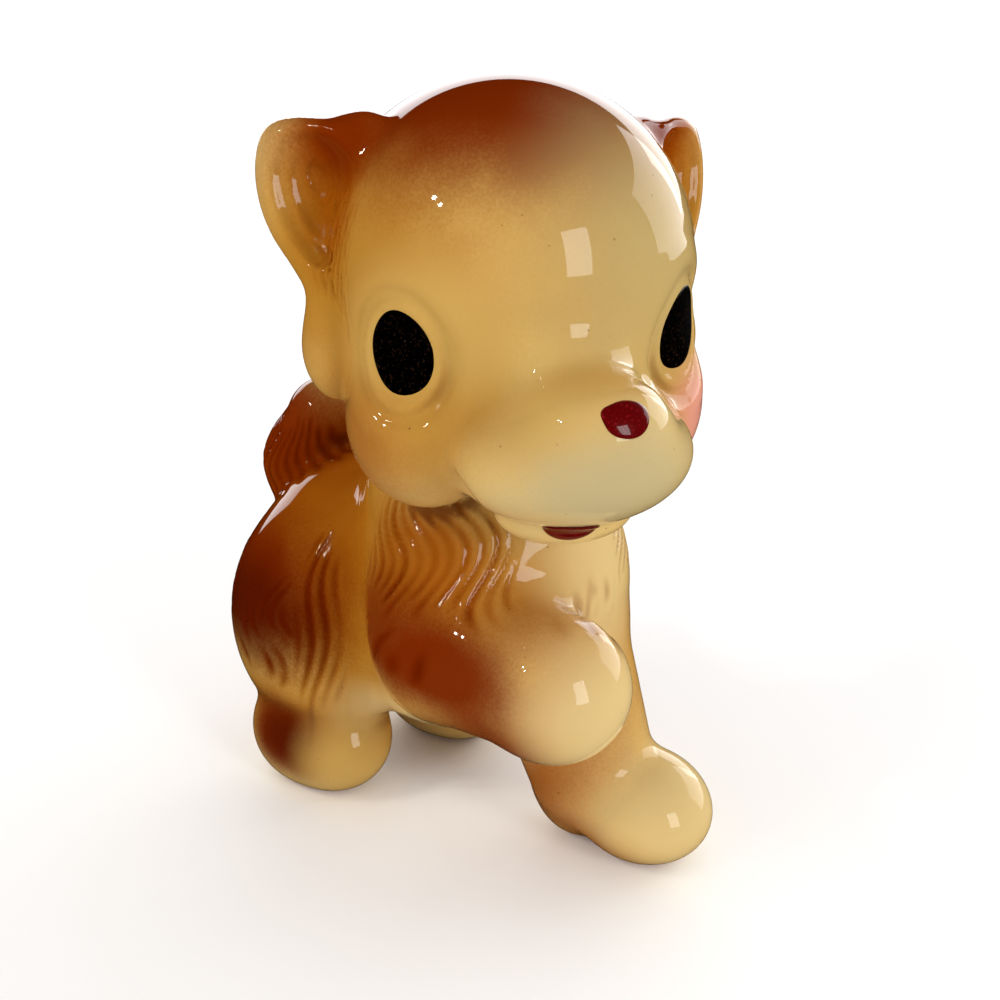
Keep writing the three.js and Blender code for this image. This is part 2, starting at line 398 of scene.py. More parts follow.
@dataclass(frozen=True)
class Fur:
    """Locks of fur combed down the clay round a heart inside it.

    Angles are in degrees. A bearing of 0 is the puppy's right and 90 its back, and `side`
    -1 mirrors the patch onto its left. A lock runs from the height `top` to `foot`.

    Args:
        heart: the place that the locks are combed round.
        bearings: where the patch starts and ends.
        top: height of the upper ends.
        foot: height of the lower ends.
        locks: how many locks there would be all the way round.
        sway: how far a lock swings to either side.
        curl: the height that one whole swing takes.
        sweep: how far a lock slants, for each degree that it falls.
        depth: depth of the grooves between the locks.
        reach: how far from the heart the comb works.
        ragged: how unequal the locks' ends are.
        side: which side of the puppy the patch is on.
        seed: makes one patch's ends unlike another's.
    """

    heart: Array
    bearings: tuple[float, float]
    top: float
    foot: float
    locks: float
    sway: float = 4.0
    curl: float = 60.0
    sweep: float = 0.0
    depth: float = 0.5
    reach: float = 38.0
    ragged: float = 12.0
    side: int = 1
    seed: float = 1.0

    # Over how many degrees a lock fades at its foot and top, and a patch at its sides.
    FOOT_FADE = 7
    TOP_FADE = 9
    SIDE_FADE = 8
    # Over how many millimetres the comb's reach fades.
    FAR_FADE = 4
    # How strongly the faintest lock shows.
    FAINTEST = 0.4
    # How far the swing runs on over a degree of bearing, in radians.
    LAG = 0.045
    # How much of the depth is a cut groove. The rest is the round swell of the locks.
    CUT = 0.65
    # How wide a groove is, as a share of a lock, in the clay and in the glaze.
    GROOVE = 0.2
    GLAZED_GROOVE = 0.19

    def _chance(self, lock: Array, salt: float) -> Array:
        """A fixed number from 0 to 1 for each lock."""
        return np.modf(np.abs(np.sin(lock * 12.9898 + salt * 78.233 + self.seed)) * 437.585)[0]

    def comb(self, points: Array) -> tuple[Array, Array]:
        """Where each point lies in the fur.

        Args:
            points: places in the figurine's frame.

        Returns:
            How far across its lock each point is, from -0.5 to 0.5 with the groove at 0,
            and how strongly the fur shows there, from 0 to 1.
        """
        local = points - self.heart
        distance = np.linalg.norm(local, axis=1) + 1e-6
        height = np.degrees(np.arcsin(np.clip(local[:, 2] / distance, -1, 1)))
        bearing = np.degrees(np.arctan2(local[:, 1], -self.side * local[:, 0]))
        middle = sum(self.bearings) / 2
        off = (bearing - middle + 180) % 360 - 180
        swing = np.sin(2 * np.pi * height / self.curl + off * self.LAG + self.seed)
        turn = off + self.sway * swing + self.sweep * (self.top - height)
        phase = turn * self.locks / 360
        lock = np.round(phase)
        top = self.top - self.ragged * self._chance(lock, 1)
        foot = self.foot + self.ragged * self._chance(lock, 2)
        half = (self.bearings[1] - self.bearings[0]) / 2
        shown = eased(height, foot, foot + self.FOOT_FADE)
        shown *= 1 - eased(height, top - self.TOP_FADE, top)
        shown *= 1 - eased(np.abs(off), half - self.SIDE_FADE, half)
        shown *= 1 - eased(distance, self.reach - self.FAR_FADE, self.reach)
        faintest = self.FAINTEST
        return phase - lock, shown * (faintest + (1 - faintest) * self._chance(lock, 3))

    def share(self, points: Array, widen: float = 1.0) -> Array:
        """From 0, on the locks, to 1 in the grooves between them."""
        across, shown = self.comb(points)
        return shown * np.exp(-((across / (self.GLAZED_GROOVE * widen)) ** 2))

    def raise_by(self, points: Array) -> Array:
        """How far the skin is raised at each point.

        Args:
            points: places in the figurine's frame.

        Returns:
            Millimetres, negative in the grooves.
        """
        across, shown = self.comb(points)
        groove = np.exp(-((across / self.GROOVE) ** 2))
        swell = np.cos(2 * np.pi * across)
        return -self.depth * shown * (self.CUT * groove + (1 - self.CUT) * swell)


Relief = Dab | Bead | Fur


# ---------- the puppy's parts ----------


def potters_shift() -> Array:
    """From the potter's frame, where the body's midline is x = 0, to the figurine's frame.

    Returns:
        The shift, in millimetres.
    """
    rump_end = Torso.rump_centre[1] + Torso.rump_radius
    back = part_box("body_shell")[1][1] / MM
    return np.array([box_middle("tail")[0], back - rump_end, 0.0])


def head_yaw() -> float:
    """How far the head is turned about Z, in degrees."""
    across = box_middle("left_eye") - box_middle("right_eye")
    return math.degrees(math.atan2(across[1], across[0]))


def head_pose() -> Pose:
    """The head's frame, found from the two eyes: its X axis runs from eye to eye.

    Returns:
        The head's frame in the figurine's.
    """
    turn = turned(Head.lift, 0.0, head_yaw())
    middle = (box_middle("right_eye") + box_middle("left_eye")) / 2
    return Pose(middle - turn @ np.array(Head.eye_line), turn)


@dataclass(frozen=True)
class Head:
    """The hollow head casting: skull, cheeks, snout and chin."""

    lift: float = -7.2
    eye_line: Triple = (0.0, -16.45, -13.16)
    skull_radii: Triple = (32.5, 37.0, 31.0)
    eye_place: Triple = (23.9, -15.2, -13.8)
    eye_splay: float = 35.0
    socket_shift: float = -0.5
    left_eye_in: float = 3.4
    left_eye_turn: float = -6.0

    def clay(self, pose: Pose) -> Clay:
        """The head's clay, in the head's own frame.

        Args:
            pose: the head's frame.

        Returns:
            The clay.
        """
        lumps = [
            (Ball((0, 3, 0), self.skull_radii), 1),
            (Ball((18.5, -5, -27), (14, 16, 16), mirrored=True), 8),
            (Ball((-19.6, -9, -13.8), (8.4, 8.4, 11)), 5),
            (Ball((17.6, -12.6, -13.8), (9.0, 8.4, 11)), 5),
            (Ball((0, -19, -16.5), (14, 15, 8.5)), 7),
            (Ball((0, -26, -30.5), (20.5, 22, 12)), 6),
            (Ball((0, -41, -23.0), (10.0, 9, 7)), 9),
            (Ball((0, -23, -41.2), (12, 11.4, 5.8)), 1.5),
        ]
        return Clay("head_shell", pose, lumps, join=1.2)

    def eye_turn(self, side: int) -> Array:
        """The turn of an eye's own frame, which looks out along its -Y."""
        return turned(0, 0, side * self.eye_splay + (self.left_eye_turn if side > 0 else 0))

    def reliefs(self, pose: Pose) -> list[Relief]:
        """Eye sockets, brows, mouth corners and the saddle above the nose.

        Args:
            pose: the head's frame.

        Returns:
            The marks, in the figurine's frame.
        """
        made: list[Relief] = []
        for side in (-1, 1):
            x, y, z = self.eye_place
            turn = pose.turn @ self.eye_turn(side)
            across = side * x + self.socket_shift - (self.left_eye_in if side > 0 else 0)
            socket = pose.outward(np.array([across, y, z]))
            made.append(Bead(socket, turn, 6.9, 8.6, 1.0, 0.45))
            made.append(Bead(socket, turn, 8.9, 10.6, 1.2, -0.55))
            made.append(Bead(socket, turn, 12.4, 13.6, 2.4, 0.55))
            corner = pose.outward(np.array([side * 18.5, -26.5, -34.5]))
            made.append(Dab(corner, (2.4, 3.0, 3.6), -1.6, pose.turn))
        saddle = pose.outward(np.array([0.0, -45.0, -15.0]))
        made.append(Dab(saddle, (10.0, 4.0, 2.6), -0.5, pose.turn))
        return made

    def hair(self, pose: Pose, yaw: float) -> list[Fur]:
        """The fine hair lines on the skull in front of each ear.

        Args:
            pose: the head's frame.
            yaw: how far the head is turned about Z, in degrees.

        Returns:
            A patch for each side.
        """
        heart = pose.outward(np.array([0.0, 3.0, 0.0]))
        lines = []
        for side in (1, -1):
            middle = -side * yaw - 8
            ends = (middle - 12, middle + 10)
            lines.append(Fur(heart, ends, 34, -24, 170, 1.2, 60, 0.08, 0.25, 42, 20, side, 9.0))
        return lines


@dataclass(frozen=True)
class Ear:
    """One cupped ear with the tuft of hair below it, measured in the head's frame."""

    side: int
    drop: float = 0.0
    tilt: float = 20.0
    splay: float = 40.0

    def _across(self, out: float, forth: float, up: float) -> Triple:
        """A place by its distances out from the skull, back from the face, and up."""
        return (self.side * out, forth, up - self.drop)

    def clay(self, pose: Pose) -> Clay:
        """The ear's clay: a leaf with a flat top, hollowed from the front, and a tuft.

        Args:
            pose: the head's frame.

        Returns:
            The clay.
        """
        lean = (0.0, self.side * self.tilt, self.side * self.splay)
        lumps = [
            (Ball(self._across(33.0, 6.0, 11.0), (11.0, 4.4, 15.8), lean), 1),
            (Ball(self._across(30.0, 6.0, -2.0), (5.5, 6.0, 12)), 5),
            (Ball(self._across(31.2, 6.0, -15.0), (6.2, 7, 9.6)), 4),
            (Ball(self._across(27.0, 3.5, 18.0), (9.0, 4.2, 8.0), lean), 3),
        ]
        hollows = [
            (Ball(self._across(35.0, 0.8, 11.6), (9.2, 6.6, 12.8), lean), 1.6),
            (Ball(self._across(36.0, 6.0, 65.0), (40.0, 40.0, 40.0)), 4.0),
        ]
        return Clay(self.name, pose, lumps, hollows, join=2.5)

    @property
    def name(self) -> str:
        """The ear's CAD node."""
        return "right_ear" if self.side < 0 else "left_ear"

    def reliefs(self, pose: Pose) -> list[Relief]:
        """The small curled ridges in the cup.

        Args:
            pose: the head's frame.

        Returns:
            The marks, in the figurine's frame.
        """
        lean = pose.turn @ turned(0.0, self.side * self.tilt, self.side * self.splay)
        curl = pose.outward(np.array(self._across(33.6, 5.0, 14.0)))
        fold = pose.outward(np.array(self._across(33.2, 5.0, 11.0)))
        return [
            Bead(curl, lean, 2.2, 3.6, 0.9, 0.6),
            Bead(fold, lean, 4.6, 8.4, 1.1, 0.45),
        ]


@dataclass(frozen=True)
class Torso:
    """The hollow body casting: chest, belly, haunches and shoulder, with its neck."""

    rump_centre: Triple = (0.0, 31.0, 43.0)
    rump_radius: float = 26.0
    chest_centre: Triple = (1.0, -15.0, 56.0)
    vent_radius: float = 4.5

    def clay(self, pose: Pose) -> Clay:
        """The body's clay, in the potter's frame.

        Args:
            pose: the potter's frame.

        Returns:
            The clay.
        """
        rump = self.rump_radius
        lumps = [
            (Ball(self.chest_centre, (22, 19, 27)), 1),
            (Ball((0, 8, 44), (23, 32, 25.5)), 8),
            (Ball(self.rump_centre, (rump, rump, rump)), 8),
            (Ball((16, 30, 35), (16, 23, 24), mirrored=True), 5),
            (Ball((-14, -13, 54), (14, 17, 22)), 5),
            (Ball((13, -12, 52), (13, 16, 20)), 5),
            (Roll((0, -9, 62), (0, -11, 88), 21, 19), 8),
            (Ball((0, 3, 70), (17, 15, 17)), 9),
        ]
        return Clay("body_shell", pose, lumps, join=1.0)

    def vent(self) -> Roll:
        """The drain hole under the belly, in the potter's frame."""
        return Roll((0.0, 8.0, 5.0), (0.0, 8.0, 34.0), self.vent_radius, self.vent_radius)

    def fur(self, pose: Pose) -> list[Fur]:
        """The patches of fur on the haunches, shoulders, breast and back.

        Args:
            pose: the potter's frame.

        Returns:
            The patches, in the figurine's frame.
        """
        hip = pose.outward(np.array(self.rump_centre))
        flank = pose.outward(np.array([0.0, -10.0, 52.0]))
        patches = []
        for side, seed in ((1, 0.3), (-1, 4.1)):
            patches += [
                Fur(hip, (-28, 94), 26, -12, 60, 6.0, 36, 0.12, 0.36, 44, 22, side, seed),
                Fur(hip, (-24, 86), 0, -30, 46, 4.0, 30, 0.0, 0.24, 44, 16, side, seed + 1),
                Fur(hip, (-46, -22), 44, -46, 64, 3.5, 60, -0.12, 0.3, 44, 18, side, seed + 2),
                Fur(flank, (-62, 22), 60, 8, 50, 8.0, 46, 0.2, 0.38, 40, 10, side, seed + 3),
                Fur(flank, (-34, 26), 12, -12, 42, 4.0, 34, -0.9, 0.3, 40, 10, side, seed + 4),
                Fur(flank, (-104, -62), 30, 0, 36, 4.0, 50, 0.1, 0.18, 42, 14, side, seed + 5),
            ]
        return patches


@dataclass(frozen=True)
class Limb:
    """A leg, foot or tail that was rolled or pressed and stuck on the body.

    Args:
        name: the piece's CAD node.
        lumps: its clay, in the potter's frame, with the softness of each join.
        join: softness of the join to the body.
        furs: for each patch of fur, its heart, bearings, top, foot and number of locks.
    """

    name: str
    lumps: tuple[Pressed, ...]
    join: float = 4.0
    furs: tuple[tuple[Triple, tuple[float, float], float, float, float], ...] = ()

    def clay(self, pose: Pose) -> Clay:
        """The limb's clay, in the potter's frame."""
        return Clay(self.name, pose, list(self.lumps), join=self.join)

    def fur(self, pose: Pose) -> list[Fur]:
        """The limb's fur.

        Args:
            pose: the potter's frame.

        Returns:
            The patches, in the figurine's frame.
        """
        made = []
        for heart, bearings, top, foot, locks in self.furs:
            place = pose.outward(np.array(heart))
            made.append(Fur(place, bearings, top, foot, locks, 9.0, 80.0, depth=0.34, reach=20.0))
        return made


def limbs() -> list[Limb]:
    """The forelegs, hind feet and tail.

    Returns:
        The limbs, in the order in which they are pressed on.
    """
    raised = Limb(
        "raised_foreleg",
        (
            (Roll((-17, -18, 49), (-12, -42, 49), 14, 13), 1),
            (Ball((-12.5, -42, 48.5), (13, 13, 12.5)), 3),
        ),
        join=6.0,
    )
    standing = Limb(
        "standing_foreleg",
        (
            (Roll((9, -17, 42), (12.5, -25.5, 15.5), 15, 12.8), 1),
            (Ball((17.0, -35.5, 10), (13, 15, 11)), 3),
            (Ball((12.5, -23, 11.5), (10, 11, 12)), 1.6),
        ),
        join=4.0,
    )
    feet = []
    for side in (-1, 1):
        name = "right_hind_foot" if side < 0 else "left_hind_foot"
        sole = Ball((side * 17, 27.5, 11.5), (13, 17, 13))
        heel = Ball((side * 17, 33, 10), (11.5, 11, 11))
        feet.append(Limb(name, ((sole, 1), (heel, 5)), join=3.0))
    tail = Limb(
        "tail",
        (
            (Roll((0, 47, 51), (0, 52, 62), 11, 11), 1),
            (Roll((0, 52, 62), (0, 48, 73), 11, 8.6), 5),
        ),
        join=3.0,
        furs=(((0.0, 50.0, 60.0), (-88, 268), 66, -30, 26),),
    )
    return [raised, standing, *feet, tail]


# ---------- one skin, cut into pieces ----------


FAR = 20.0


@dataclass
class Figure:
    """All the clay of the puppy, joined into one soft shape that stands on the floor.

    Args:
        clays: the pieces, in the order in which they are pressed together.
        vent: the drain hole, in the first piece's own frame.
        vent_pose: that frame.
        reliefs: what is worked into the skin.
        sole_round: how far the edge of a sole is rounded.
        margin: how much wider than its clay a piece's box is.
    """

    clays: list[Clay]
    vent: Roll
    vent_pose: Pose
    reliefs: list[Relief] = field(default_factory=list)
    sole_round: float = 1.2
    margin: float = 6.0

    def __post_init__(self) -> None:
        """Notes a box round each piece."""
        self.boxes = [clay.extent(self.margin) for clay in self.clays]

    def distances(self, points: Array) -> Array:
        """One row for each piece: how far outside it each point is, up to FAR.

        Args:
            points: places in the figurine's frame.

        Returns:
            An array of pieces by points, in millimetres.
        """
        result = np.full((len(self.clays), len(points)), FAR, np.float32)
        for row, clay, (low, high) in zip(result, self.clays, self.boxes):
            inside = ((points > low) & (points < high)).all(1)
            row[inside] = clay.distance(points[inside])
        return result

    def trimmed(self, joined: Array, points: Array) -> Array:
        """The joined clay with the drain hole bored and the soles cut flat."""
        bored = -softened(-joined, self.vent.distance(self.vent_pose.inward(points)), 1.0)
        return -softened(-bored, points[:, 2], self.sole_round)

    def smooth(self, points: Array) -> Array:
        """How far outside the clay each point is, before any relief.

        Args:
            points: places in the figurine's frame.

        Returns:
            Millimetres, negative inside.
        """
        rows = self.distances(points)
        joined = rows[0]
        for row, clay in zip(rows[1:], self.clays[1:]):
            joined = softened(joined, row, clay.join)
        return self.trimmed(joined, points)

    def relief(self, points: Array) -> Array:
        """How far the relief raises the skin at each point.

        Args:
            points: places in the figurine's frame.

        Returns:
            Millimetres, positive outward.
        """
        total = np.zeros(len(points), np.float32)
        for mark in self.reliefs:
            total += mark.raise_by(points)
        return total

    def fine(self, points: Array) -> Array:
        """How far outside the clay each point is, with the relief."""
        return self.smooth(points) - self.relief(points)

    def sample(self, spacing: float) -> tuple[Array, Array, Array]:
        """Reads the clay on a grid.

        Args:
            spacing: from one grid point to the next.

        Returns:
            The grid's lowest corner, the joined distance at each point, and which piece
            each point is in, where 0 is the air.
        """
        lows, highs = zip(*self.boxes)
        low, high = np.min(lows, 0), np.max(highs, 0)
        low[2] = -1.5 * spacing
        axes = [np.arange(a, b + spacing, spacing, dtype=np.float32) for a, b in zip(low, high)]
        shape = tuple(len(axis) for axis in axes)
        joined, best = np.full(shape, FAR, np.float32), np.full(shape, FAR, np.float32)
        label = np.zeros(shape, np.uint8)
        for number, (clay, box) in enumerate(zip(self.clays, self.boxes), 1):
            ends = zip(axes, box[0], box[1])
            block = tuple(slice(*np.searchsorted(axis, (a, b))) for axis, a, b in ends)
            points = self._grid([axis[part] for axis, part in zip(axes, block)])
            distance = clay.distance(points).reshape(joined[block].shape)
            joined[block] = softened(joined[block], distance, clay.join)
            label[block] = np.where(distance < best[block], number, label[block])
            best[block] = np.minimum(best[block], distance)
        for layer, x in enumerate(axes[0]):
            points = self._grid([np.array([x]), axes[1], axes[2]])
            joined[layer] = self.trimmed(joined[layer].ravel(), points).reshape(shape[1:])
        label[joined >= 0] = 0
        return low, joined, label

    @staticmethod
    def _grid(axes: Sequence[Array]) -> Array:
        """Every point of a block, one row each."""
        return np.stack(np.meshgrid(*axes, indexing="ij"), -1).reshape(-1, 3).astype(np.float32)


@dataclass
class Net:
    """A net of four-cornered faces drawn between every two labels of a grid.

    Args:
        points: the net's knots.
        faces: four knots for each face, wound to face away from the first label.
        sides: the two labels that each face parts.
    """

    points: Array
    faces: Array
    sides: Array

    @classmethod
    def drawn(cls, low: Array, joined: Array, label: Array, spacing: float) -> "Net":
        """Draws the net: one knot in each cell that a border runs through.

        Args:
            low: the grid's lowest corner.
            joined: the clay's distance at each grid point.
            label: which piece each grid point is in, where 0 is the air.
            spacing: from one grid point to the next.

        Returns:
            The net, not yet settled.
        """
        shape = np.array(label.shape)
        faces, sides, crossings, weights = [], [], [], []
        for axis in range(3):
            across, up = (axis + 1) % 3, (axis + 2) % 3
            lower = tuple(slice(0, -1) if a == axis else slice(1, -1) for a in range(3))
            upper = tuple(slice(1, None) if a == axis else slice(1, -1) for a in range(3))
            at = np.argwhere(label[lower] != label[upper])
            at[:, [across, up]] += 1
            step = np.eye(3, dtype=int)[axis]
            here, there = tuple(at.T), tuple((at + step).T)
            first, second = label[here], label[there]
            skin = (first == 0) | (second == 0)
            share = np.full(len(at), 0.5)
            share[skin] = joined[here][skin] / (joined[here][skin] - joined[there][skin])
            corners = []
            for side_step, up_step in ((-1, -1), (0, -1), (0, 0), (-1, 0)):
                cell = at.copy()
                cell[:, across] += side_step
                cell[:, up] += up_step
                corners.append(np.ravel_multi_index(tuple(cell.T), shape))
            faces.append(np.stack(corners, 1))
            sides.append(np.stack([first, second], 1))
            crossings.append(at + share[:, None] * step)
            weights.append(np.where(skin, 1.0, 1e-6))
        corners, sides = np.concatenate(faces), np.concatenate(sides)
        knots, index = np.unique(corners, return_inverse=True)
        index = index.reshape(corners.shape)
        crossing, weight = np.concatenate(crossings), np.concatenate(weights)
        weight = np.repeat(weight, 4)
        total = np.bincount(index.ravel(), weight, len(knots))
        points = np.empty((len(knots), 3))
        for a in range(3):
            sums = np.bincount(index.ravel(), weight * np.repeat(crossing[:, a], 4), len(knots))
            points[:, a] = low[a] + spacing * sums / total
        return cls(points.astype(np.float32), index, sides.astype(int))

    def touching(self, chosen: Array) -> Array:
        """Which knots lie on any of the chosen faces.

        Args:
            chosen: which faces are meant.

        Returns:
            One truth for each knot.
        """
        result = np.zeros(len(self.points), bool)
        result[self.faces[chosen].ravel()] = True
        return result

    def piece(self, number: int) -> tuple[Array, Array]:
        """A piece's faces, wound outward, and which of them are skin.

        Args:
            number: the piece's label.

        Returns:
            Four knots for each face, and one truth for each face.
        """
        first, second = self.sides[:, 0] == number, self.sides[:, 1] == number
        faces = np.concatenate([self.faces[first], self.faces[second][:, ::-1]])
        skin = np.concatenate([self.sides[first, 1] == 0, self.sides[second, 0] == 0])
        return faces, skin


READ_STEP = 0.25
GENTLEST = 0.05


def settle(
    points: Array, onto: Field, steps: int, limit: float, along: Field | None = None
) -> Array:
    """Moves points onto the zero of a field.

    Args:
        points: the places to start from.
        onto: the field.
        steps: how many times to step.
        limit: the longest step.
        along: a field whose own zero the points keep to while they move.

    Returns:
        The moved points.
    """
    for _ in range(steps):
        way = slope(onto, points, READ_STEP)
        if along is not None:
            out = slope(along, points, READ_STEP)
            out /= np.linalg.norm(out, axis=1, keepdims=True) + 1e-6
            way -= (way * out).sum(1, keepdims=True) * out
        move = way * (onto(points) / np.maximum((way * way).sum(1), GENTLEST))[:, None]
        length = np.linalg.norm(move, axis=1, keepdims=True)
        points = points - move * np.minimum(1, limit / np.maximum(length, 1e-6))
    return points


@dataclass
class Skin:
    """The finished net of the whole puppy, with what the glaze needs to know of it.

    Args:
        net: the net, settled onto the clay.
        normals: which way the glaze faces at each knot.
        furrow: how deep in a fur stroke each knot is, from 0 to 1.
        crease_shade: how closely the clay shuts each knot in, from 0 to 1, which sets the painted
            shade in the creases.
    """

    net: Net
    normals: Array
    furrow: Array
    crease_shade: Array

    # How far above the clay the creases are looked for, to paint shade into them.
    CREASE_REACH = 5.0
    # How much wider the glaze gathers in a furrow than the comb cut it.
    GATHERED = 1.25

    @classmethod
    def thrown(cls, figure: Figure, spacing: float) -> "Skin":
        """Draws the net at this spacing, settles it on the clay and reads the surface.

        Args:
            figure: the clay.
            spacing: from one grid point to the next.

        Returns:
            The finished skin.
        """
        net = Net.drawn(*figure.sample(spacing), spacing)
        LOG.info("net: %d knots, %d faces", len(net.points), len(net.faces))
        between = (net.sides > 0).all(1)
        on_skin, on_seam = net.touching(~between), net.touching(between)
        pair = np.zeros((len(net.points), 2), int)
        pair[net.faces[between].ravel()] = np.repeat(np.sort(net.sides[between], 1), 4, axis=0)
        net.points[on_skin] = settle(net.points[on_skin], figure.smooth, 2, spacing)
        for chosen, along in ((on_seam & on_skin, figure.smooth), (on_seam & ~on_skin, None)):
            rows = pair[chosen] - 1

            def parting(points: Array) -> Array:
                """How much nearer each point is to one piece of its seam than to the other.

                Args:
                    points: places in the figurine's frame.

                Returns:
                    Millimetres, zero on the seam.
                """
                every = figure.distances(points)
                index = np.arange(len(points))
                return every[rows[:, 0], index] - every[rows[:, 1], index]

            net.points[chosen] = settle(net.points[chosen], parting, 2, spacing * 0.3, along)
        net.points[on_skin] = settle(net.points[on_skin], figure.fine, 3, spacing)
        skin_points = net.points[on_skin]
        normals = np.zeros_like(net.points)
        normals[on_skin] = slope(figure.fine, skin_points, 0.2)
        normals /= np.linalg.norm(normals, axis=1, keepdims=True) + 1e-9
        furrow, crease_shade = np.zeros(len(net.points)), np.zeros(len(net.points))
        for mark in figure.reliefs:
            if isinstance(mark, Fur):
                furrow[on_skin] = np.maximum(furrow[on_skin], mark.share(skin_points, cls.GATHERED))
        # Painted shade: the less open the clay is just above a knot, the darker the glaze is
        # painted there.
        above = skin_points + normals[on_skin] * cls.CREASE_REACH
        open_by = figure.smooth(above.astype(np.float32)) / cls.CREASE_REACH
        crease_shade[on_skin] = np.clip(1 - open_by, 0, 1)
        return cls(net, normals, furrow, crease_shade)

    def made(self, number: int, name: str) -> bpy.types.Object:
        """The closed mesh of one piece.

        Args:
            number: the piece's label in the net.
            name: the new object's name.

        Returns:
            The object, with its faces smooth where they are skin.
        """
        faces, skin = self.net.piece(number)
        used, index = np.unique(faces, return_inverse=True)
        index = index.reshape(faces.shape)
        places = self.net.points[used] * MM
        mesh = bpy.data.meshes.new(name)
        mesh.from_pydata(places.tolist(), [], index.tolist())
        mesh.polygons.foreach_set("use_smooth", np.ones(len(faces), bool))
        for label, values in (("furrow", self.furrow), ("crease_shade", self.crease_shade)):
            layer = mesh.attributes.new(label, "FLOAT", "POINT")
            layer.data.foreach_set("value", values[used].astype(np.float32))
        corners = self.net.points[faces]
        flat = np.cross(corners[:, 2] - corners[:, 0], corners[:, 3] - corners[:, 1])
        flat /= np.linalg.norm(flat, axis=1, keepdims=True) + 1e-9
        loops = np.where(skin[:, None, None], self.normals[faces], flat[:, None, :])
        mesh.normals_split_custom_set(loops.reshape(-1, 3).tolist())
        thing = bpy.data.objects.new(name, mesh)
        bpy.context.scene.collection.objects.link(thing)
        LOG.info("%s: %d faces", name, len(faces))
        return thing


# ---------- enamel ----------


class Outline(Enum):
    """The outline of a pad of enamel."""

    EGG = "egg"
    TEARDROP = "teardrop"
    HALF_OVAL = "half oval"

    def reach(self, angle: Array) -> Array:
        """How far the outline reaches at each angle, as a share of its half sizes.

        Args:
            angle: radians from the pad's right side towards its top.

        Returns:
            Shares near 1.
        """
        if self is Outline.EGG:
            return 1 + 0.012 * np.sin(2 * angle + 0.6) + 0.008 * np.sin(5 * angle)
        if self is Outline.TEARDROP:
            corner = np.exp(-(((angle - 2.65 + np.pi) % (2 * np.pi) - np.pi) / 0.42) ** 2)
            top = np.exp(-(((angle - 0.7 + np.pi) % (2 * np.pi) - np.pi) / 0.6) ** 2)
            return 0.94 + 0.2 * corner + 0.05 * top + 0.012 * np.sin(4 * angle)
        lifted = np.maximum(np.sin(angle), 0)
        return 1 - 0.52 * lifted**1.2 + 0.02 * np.sin(3 * angle + 1)


@dataclass(frozen=True)
class Enamel:
    """A thin pad of enamel laid on the clay, seen along its own -Y.

    Args:
        node: the CAD node that it stands for.
        place: where its middle is, in the figurine's frame.
        turn: a matrix whose columns are the pad's own axes.
        half_width: from the middle to the side.
        half_height: from the middle to the top.
        outline: the shape of its edge.
        proud: how far it stands above the clay.
        rings: how many rings of knots it has, about.
        segments: how many knots each ring has.
        first_ring: the innermost ring, as a share of the outline.
        last_but_one: the ring just inside the outline, as a share of it.
        sunk: how far its underside lies in the clay.
        start_off: how far in front of the clay it starts.
        presses: how many times it is pressed towards the clay.
        press: how much of the way each press takes it.
        sharp_from: the angle in degrees from which its edge shades as an edge.
    """

    node: str
    place: Array
    turn: Array
    half_width: float
    half_height: float
    outline: Outline
    proud: float = 0.28
    rings: int = 14
    segments: int = 84
    first_ring: float = 0.02
    last_but_one: float = 0.985
    sunk: float = 0.7
    start_off: float = 12.0
    presses: int = 48
    press: float = 0.85
    sharp_from: float = 50.0

    def made(self, clay: Field) -> bpy.types.Object:
        """The closed pad, pressed to follow the clay beneath it.

        Args:
            clay: how far outside the clay a point is.

        Returns:
            The pad.
        """
        angle = np.linspace(0, 2 * np.pi, self.segments, endpoint=False)
        between = np.linspace(0, 1, self.rings + 1)[1:-1]
        share = np.concatenate([[self.first_ring], between, [self.last_but_one, 1.0]])
        reach = share[:, None] * self.outline.reach(angle)[None]
        across = self.half_width * reach * np.cos(angle)
        up = self.half_height * reach * np.sin(angle)
        local = np.stack([across, np.full_like(across, -self.start_off), up], -1).reshape(-1, 3)
        inward = self.turn[:, 1]
        points = (local @ self.turn.T + self.place).astype(np.float32)
        for _ in range(self.presses):
            points += inward * (self.press * clay(points))[:, None]
        height = self.proud * np.sqrt(np.clip(1 - share**7, 0, 1))
        top = points - inward * np.repeat(height, self.segments)[:, None]
        under = points + inward * self.sunk
        faces = capped_rings(len(share), self.segments)
        below = len(share) * self.segments
        closed = faces + [[below + knot for knot in reversed(face)] for face in faces]
        edge = below - self.segments + np.arange(self.segments)
        after = np.roll(edge, -1)
        closed += np.stack([edge, below + edge, below + after, after], 1).tolist()
        mesh = bpy.data.meshes.new(self.node)
        mesh.from_pydata((np.concatenate([top, under]) * MM).tolist(), [], closed)
        mesh.polygons.foreach_set("use_smooth", np.ones(len(closed), bool))
        mesh.set_sharp_from_angle(angle=math.radians(self.sharp_from))
        thing = bpy.data.objects.new(self.node + "_enamel", mesh)
        bpy.context.scene.collection.objects.link(thing)
        LOG.info("%s: %d faces", thing.name, len(closed))
        return thing


# ---------- shader bench ----------


